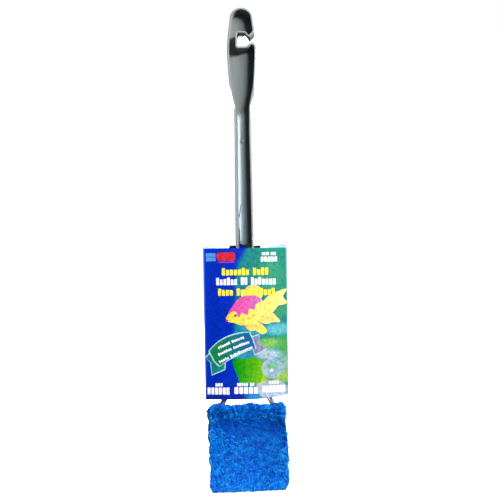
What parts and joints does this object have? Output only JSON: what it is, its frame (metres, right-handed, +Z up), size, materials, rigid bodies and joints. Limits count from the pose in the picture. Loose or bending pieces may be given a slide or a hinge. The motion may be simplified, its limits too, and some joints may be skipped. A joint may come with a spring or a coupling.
{
  "type": "long-handled aquarium scrubber",
  "caption": "Long-handled aquarium glass scrubber: a grey moulded handle with a hang hook, a blue fibre pad and a slip-off printed card sleeve.",
  "frame": {"origin": "seat of the hang hook: middle of the hook pocket's upper wall, halfway through the handle's thickness", "axes": "+Z up along the handle, towards the rounded end of the grip; -Y out of the open front of the handle's channel; +X towards the mouth of the hook"},
  "size_m": [0.0782, 0.0254, 0.4502],
  "materials": {
    "grey_plastic": "semi-gloss, cool grey, slightly metallic",
    "blue_fibre": "open matted fibres, bright blue",
    "clear_adhesive": "milky hot-melt film",
    "blue_nylon": "satin dark blue",
    "printed_card": "gloss-varnished print on white board",
    "white_glue": "dried white glue"
  },
  "bodies": {
    "scrubber": {"handle": "grey_plastic", "pad_front_ply": "blue_fibre", "pad_back_ply": "blue_fibre", "pad_bond_film": "clear_adhesive", "pad_rivet_left": "blue_nylon", "pad_rivet_right": "blue_nylon", "rivet_washer_left": "blue_nylon", "rivet_washer_right": "blue_nylon"},
    "sleeve": {"sleeve_card": "printed_card", "glue_dot_left": "white_glue", "glue_dot_right": "white_glue"}
  },
  "joints": [
    {"name": "sleeve_slide", "type": "slide", "parent": "scrubber", "child": "sleeve", "axis": [0, 0, 1], "range_m": [0, 0.37]}
  ]
}
